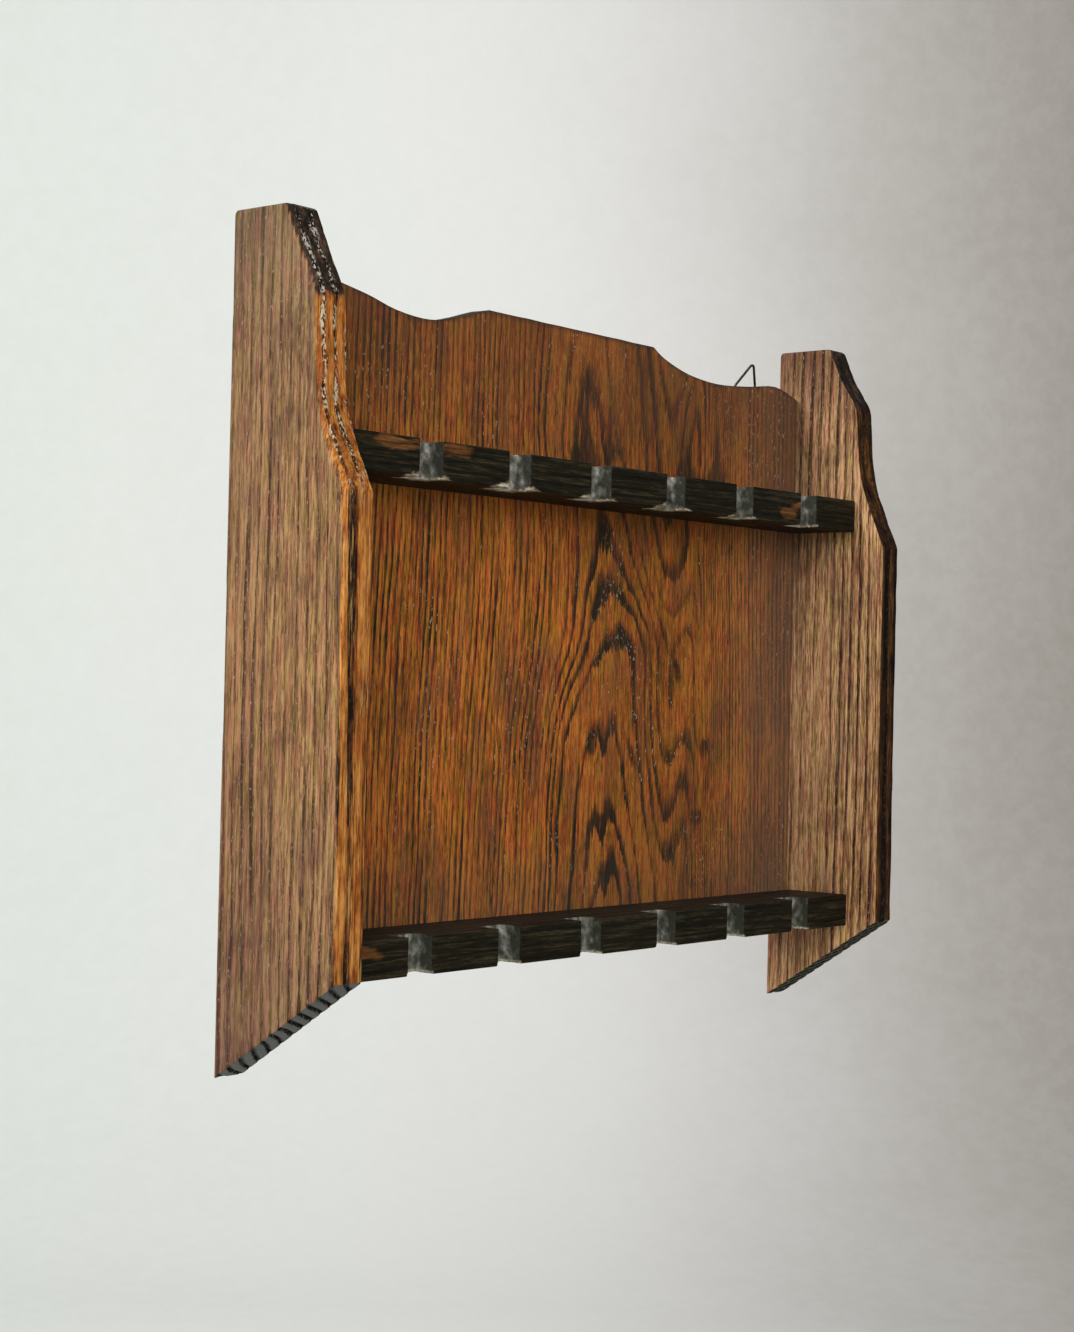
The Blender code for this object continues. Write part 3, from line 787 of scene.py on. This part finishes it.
def make_panel_oak():
    """Plain-sawn oak of the panel: orange-brown, near black where early wood took the stain."""
    g = Oak("panel_oak_board", Z, 0.12, warp=0.22, ragged=0.42)
    tone = g.total(0.385, (g.early, -0.85), (g.fibres, 1.10), (g.threads, 1.75), (g.blotches, 0.80))
    tone = g.math("MULTIPLY_ADD", g.attribute("stain"), -0.50, tone)
    tone = g.math("MULTIPLY_ADD", g.pores, -0.40, tone, clamp=True)
    colour = g.ramp(tone, PANEL_BROWNS)
    violet = g.step(g.grained(60, 16, 3.0), 0.48, 0.64)
    colour = g.mix(g.math("MULTIPLY", violet, 0.38), colour, (0.098, 0.042, 0.026))
    colour = g.tinted(colour, 1.0)
    # painted shade towards the panel's right, foot and top
    colour = panel_with_painted_shade(g, colour)
    chalk = g.math("MULTIPLY", g.specks, g.step(g.grained(30, 14, 2.0), 0.45, 0.62))
    colour = g.mix(g.math("MULTIPLY", chalk, 0.75), colour, (0.42, 0.33, 0.24))
    sawn = g.ramp(g.total(0.30, (g.early, 0.5), (g.fibres, 0.5)), PANEL_SAWN)
    colour = g.mix(g.attribute("end"), colour, sawn)
    roughness = g.math("MAXIMUM", g.gloss(0.40), g.attribute("end"))
    return g.finish(colour, g.relief(), 0.0003, roughness)


RAIL_BLACKS = (
    (0.0, (0.003, 0.003, 0.002)), (0.5, (0.012, 0.010, 0.005)), (1.0, (0.060, 0.048, 0.024)),
)
RAIL_BROWNS = (
    (0.0, (0.030, 0.012, 0.005)), (0.5, (0.120, 0.048, 0.014)), (1.0, (0.300, 0.140, 0.040)),
)
# painted sheen: the lighter grey given to a rail's upward faces
RAIL_PAINTED_SHEEN = ((0.2, (0.012, 0.011, 0.008)), (0.8, (0.050, 0.045, 0.035)))
NOTCH_GREYS = (
    (0.25, (0.030, 0.032, 0.024)), (0.50, (0.085, 0.088, 0.070)), (0.72, (0.220, 0.210, 0.190)),
    (0.92, (0.520, 0.500, 0.460)),
)
TORN_TANS = (
    (0.32, (0.110, 0.085, 0.050)), (0.50, (0.330, 0.280, 0.190)), (0.66, (0.600, 0.540, 0.420)),
)


def make_rail_oak():
    """Oak stained nearly black, worn brown in patches, grey inside the notches, bare where torn."""
    g = Oak("rail_oak_board", X, 0.06)
    tone = g.total(0.34, (g.early, -0.30), (g.fibres, 1.3), (g.threads, 1.1), (g.blotches, 0.40))
    chance = g.math("MULTIPLY_ADD", g.attribute("worn"), 0.45, g.grained(150, 40, 3.0))
    worn = g.step(chance, 0.70, 0.86)
    colour = g.mix(worn, g.ramp(tone, RAIL_BLACKS), g.ramp(tone, RAIL_BROWNS))
    # painted sheen on the upward faces
    colour = g.mix(g.attribute("upward"), colour, g.ramp(tone, RAIL_PAINTED_SHEEN))
    blotch = g.total(0.36, (g.noise((230, 230, 170), 2.0), 1.3), (g.attribute("deep"), 0.42))
    colour = g.mix(g.attribute("inside"), colour, g.ramp(blotch, NOTCH_GREYS))
    splinters = g.noise((120, 620, 620), 3.0)
    colour = g.mix(g.attribute("bare"), colour, g.ramp(splinters, TORN_TANS))
    return g.finish(colour, g.relief(), 0.0003, g.gloss(0.45))


def make_metal(name, dark, light, roughness):
    """Plated or bronzed steel, finely mottled and scratched."""
    g = Graph(name, roughness, metallic=0.85)
    mottling = g.noise((420, 420, 420), 3.0)
    colour = g.ramp(mottling, ((0.35, dark), (0.70, light)))
    scratches = g.noise((2600, 400, 900), 2.0)
    mottled = g.math("MULTIPLY_ADD", mottling, 0.3, roughness - 0.15)
    return g.finish(colour, scratches, 0.00004, mottled)


def make_beech():
    """Pale turned beech, whose grain runs along X, as the dowels do."""
    g = Graph("dowel_beech_turned", 0.7)
    fibres = g.noise((60, 900, 900), 3.0)
    colour = g.ramp(fibres, ((0.3, (0.36, 0.22, 0.11)), (0.7, (0.62, 0.43, 0.25))))
    return g.finish(colour, fibres, 0.0002)


# ---------------------------------------------------------------- stage, lights, camera

# The camera was fitted to the photograph's edges, so its numbers are measured ones.
CAMERA_PLACE = Vector((-1.0620, -0.8614, -0.2136))
CAMERA_YAW = 0.8848  # radians, from +Y towards +X
CAMERA_PITCH = 0.0104
CAMERA_ROLL = 0.0231
CAMERA_LENS = 63.57


def view_axes():
    """The camera's right, up and forward directions."""
    forward = Vector((
        math.sin(CAMERA_YAW) * math.cos(CAMERA_PITCH),
        math.cos(CAMERA_YAW) * math.cos(CAMERA_PITCH),
        math.sin(CAMERA_PITCH),
    ))
    right = Vector((math.cos(CAMERA_YAW), -math.sin(CAMERA_YAW), 0))
    up = right.cross(forward)
    c, s = math.cos(CAMERA_ROLL), math.sin(CAMERA_ROLL)
    return c * right + s * up, c * up - s * right, forward


def place_camera():
    right, up, forward = view_axes()
    data = bpy.data.cameras.new("camera")
    data.lens = CAMERA_LENS
    camera = bpy.data.objects.new("camera", data)
    bpy.context.scene.collection.objects.link(camera)
    matrix = Matrix((right, up, -forward)).transposed().to_4x4()
    matrix.translation = CAMERA_PLACE
    camera.matrix_world = matrix
    bpy.context.scene.camera = camera


# painted light across the backdrop, from a bright middle to a painted shade at the right
PAPER_WITH_PAINTED_LIGHT = (
    (0.0, (0.650, 0.680, 0.640)), (0.30, (0.720, 0.735, 0.700)), (0.52, (0.800, 0.795, 0.775)),
    (0.74, (0.600, 0.580, 0.550)), (1.0, (0.340, 0.305, 0.265)),
)


def make_paper():
    """Pale mottled paper with painted light: cool at the view's left, lightest in its middle, and a
    painted shade dims its right.
    """
    g = Graph("stage_paper", 0.9, specular=0.1)
    along = g.add("ShaderNodeVectorMath", operation="DOT_PRODUCT")
    g.feed(along.inputs[0], g.place)
    along.inputs[1].default_value = (math.cos(CAMERA_YAW), -math.sin(CAMERA_YAW), 0)
    across = g.math("MULTIPLY_ADD", along.outputs["Value"], 0.42, 0.5)
    drift = g.math("MULTIPLY_ADD", g.noise((1.6, 1.6, 1.6), 2.0), 0.16, -0.08)
    # painted light and shade along the view's right
    colour = g.ramp(g.math("ADD", across, drift, clamp=True), PAPER_WITH_PAINTED_LIGHT, "B_SPLINE")
    clouds = g.step(g.noise((26, 26, 26), 5.0, 0.7), 0.35, 0.65)
    colour = g.mix(g.math("MULTIPLY", clouds, 0.07), colour, (0.92, 0.92, 0.92))
    return g.finish(colour, g.noise((60, 60, 60), 4.0), 0.0006)


def build_stage():
    """A pale floor that sweeps up into a backdrop, well away from the rack."""
    floor_z, start, reach, bend, top, half_width = -1.15, -3.5, 3.4, 1.2, 3.2, 4.5
    bend_steps = 16
    profile = [(start, floor_z), (reach - bend, floor_z)]
    for n in range(1, bend_steps + 1):
        angle = math.pi / 2 * n / bend_steps
        ahead = reach - bend + bend * math.sin(angle)
        profile.append((ahead, floor_z + bend * (1 - math.cos(angle))))
    profile.append((reach, top))
    turn = Matrix.Rotation(-CAMERA_YAW, 4, "Z")
    bm = bmesh.new()
    rows = []
    for side in (-half_width, half_width):
        rows.append([bm.verts.new(turn @ Vector((side, a, b))) for a, b in profile])
    for n in range(len(profile) - 1):
        bm.faces.new((rows[0][n], rows[1][n], rows[1][n + 1], rows[0][n + 1]))
    mesh = bpy.data.meshes.new("backdrop")
    bm.to_mesh(mesh)
    bm.free()
    mesh.shade_smooth()
    mesh.materials.append(make_paper())
    backdrop = bpy.data.objects.new("backdrop", mesh)
    bpy.context.scene.collection.objects.link(backdrop)


def add_light(name, place, target, size, power, colour=(1, 1, 1)):
    """A round soft light that faces its target."""
    data = bpy.data.lights.new(name, "AREA")
    data.shape = "DISK"
    data.size = size
    data.energy = power
    data.color = colour
    light = bpy.data.objects.new(name, data)
    bpy.context.scene.collection.objects.link(light)
    light.location = place
    light.rotation_euler = (Vector(target) - Vector(place)).to_track_quat("-Z", "Y").to_euler()


def light_scene():
    """A warm key on the left, a weak fill in front, a wash on the backdrop, and a grey sky."""
    rack_middle = (0, -0.03, -0.2)
    backdrop_middle = (0.9, 2.6, -0.2)
    add_light("key", (-2.2, -1.5, 0.7), rack_middle, 1.4, 52, (1.0, 0.985, 0.96))
    add_light("fill", (-0.2, -2.4, 0.3), rack_middle, 1.6, 16)
    add_light("wash", (-1.6, 0.9, 1.6), backdrop_middle, 1.8, 120)
    world = bpy.data.worlds.new("studio")
    bpy.context.scene.world = world
    world.use_nodes = True
    background = world.node_tree.nodes["Background"]
    background.inputs["Color"].default_value = (0.80, 0.82, 0.84, 1)
    background.inputs["Strength"].default_value = 0.33


# ---------------------------------------------------------------- assembly

def finish_hardware():
    """Gives the hangers, screws and dowels that keep their CAD shape their finishes."""
    bronze = make_metal("bronzed_steel_worn", (0.012, 0.010, 0.008), (0.075, 0.055, 0.035), 0.42)
    zinc = make_metal("zinc_steel_worn", (0.20, 0.19, 0.17), (0.46, 0.44, 0.40), 0.38)
    beech = make_beech()
    finishes = {"bronzed_steel": bronze, "zinc_steel": zinc, "dowel_beech": beech}
    for part in frame["record"]["subparts"]:
        if part["material_slot"] in finishes:
            materials = frame["nodes"][part["node"]].data.materials
            materials.clear()
            materials.append(finishes[part["material_slot"]])


# Heights of a look are in mm above the side's foot. wear lists (height, radius of the outer arris),
# fade is how far the ring bands fade near the inner face, and lean and start place the rings.
LEFT_LOOK = {
    "seed": 41, "lean": 0.0020, "start": 0.43, "shoulder": 290, "brow": 388, "chalk": 1.0,
    "fade": 1.2, "wear": ((0, 1.2), (270, 2.0), (300, 5.0), (388, 5.5), (432, 2.5)),
}
RIGHT_LOOK = {
    "seed": 61, "lean": -0.0010, "start": 0.20, "shoulder": 292, "brow": 383, "chalk": 0.05,
    "fade": 0.2, "wear": ((0, 1.2), (432, 1.6)),
}
# Ramps of a paint are (tone, colour). Its tints by height are (share of the height, tint), painted
# light and shade: painted shade darkens a side's foot and top, and a tint above 1 is painted light
# on the right side's middle.
LEFT_PAINT = {
    "contrast": 1.02,
    "tans": (
        (0.0, (0.030, 0.016, 0.010)), (0.30, (0.090, 0.050, 0.026)), (0.55, (0.168, 0.093, 0.043)),
        (0.80, (0.258, 0.147, 0.066)), (1.0, (0.380, 0.232, 0.108)),
    ),
    "pale": (0.330, 0.210, 0.110),
    "edge": (
        (0.0, (0.008, 0.005, 0.003)), (0.30, (0.070, 0.024, 0.007)), (0.60, (0.270, 0.088, 0.014)),
        (1.0, (0.560, 0.250, 0.055)),
    ),
    "golden": 0.48,
    # painted shade: the left side is darker and cooler at its foot and top
    "painted_light_by_height": (
        (0.0, (0.52, 0.49, 0.61)), (0.22, (0.80, 0.75, 0.76)), (0.45, (0.87, 0.81, 0.75)),
        (0.75, (0.83, 0.80, 0.79)), (1.0, (0.54, 0.58, 0.66)),
    ),
    "sawn": (1.0, 1.0, 1.0),
    "dull": 0.2,
}
RIGHT_PAINT = {
    "contrast": 1.05,
    "tans": (
        (0.0, (0.018, 0.010, 0.007)), (0.30, (0.080, 0.040, 0.020)), (0.55, (0.190, 0.092, 0.042)),
        (0.80, (0.330, 0.180, 0.080)), (1.0, (0.520, 0.330, 0.160)),
    ),
    "pale": (0.480, 0.330, 0.170),
    "edge": ((0.2, BLACK), (0.7, (0.042, 0.018, 0.006)), (1.0, (0.150, 0.064, 0.018))),
    "golden": 0.0,
    "painted_light_by_height": (
        # painted light up the right side's middle (tints above 1), painted shade at its top
        (0.0, (1.0, 0.95, 0.92)), (0.50, (1.29, 1.30, 1.34)), (0.78, (1.03, 1.03, 1.05)),
        (1.0, (0.42, 0.36, 0.37)),
    ),
    "sawn": (0.35, 0.35, 0.28),
    "dull": 1.0,
}
UPPER_TORN = (11, 14, 10, 11, 8, 3)  # mm of broken wood at each notch, from the left
LOWER_TORN = (1.5, 1, 1, 1.5, 1, 1)
UPPER_WORN = (  # (mm from the left end, share of the height, half length in mm, half height)
    (36, 0.80, 26, 0.22), (88, 0.80, 12, 0.25), (392, 0.25, 14, 0.25), (404, 0.60, 10, 0.2),
)
LOWER_WORN = ((20, 0.7, 20, 0.2),)


def main():
    """Sets up the view and the stage, then builds every board and finishes the hardware."""
    place_camera()
    build_stage()
    light_scene()
    left_low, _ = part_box("left_side_panel")
    _, right_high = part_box("right_side_panel")
    build_side("left", left_low.x, 1, LEFT_LOOK, make_side_oak("left_side_oak", LEFT_PAINT))
    build_side("right", right_high.x, -1, RIGHT_LOOK, make_side_oak("right_side_oak", RIGHT_PAINT))
    build_panel(make_panel_oak())
    rail_oak = make_rail_oak()
    build_rail("upper", UPPER_TORN, UPPER_WORN, 81, rail_oak)
    build_rail("lower", LOWER_TORN, LOWER_WORN, 101, rail_oak)
    finish_hardware()
    bpy.context.scene.view_settings.view_transform = "Standard"


main()
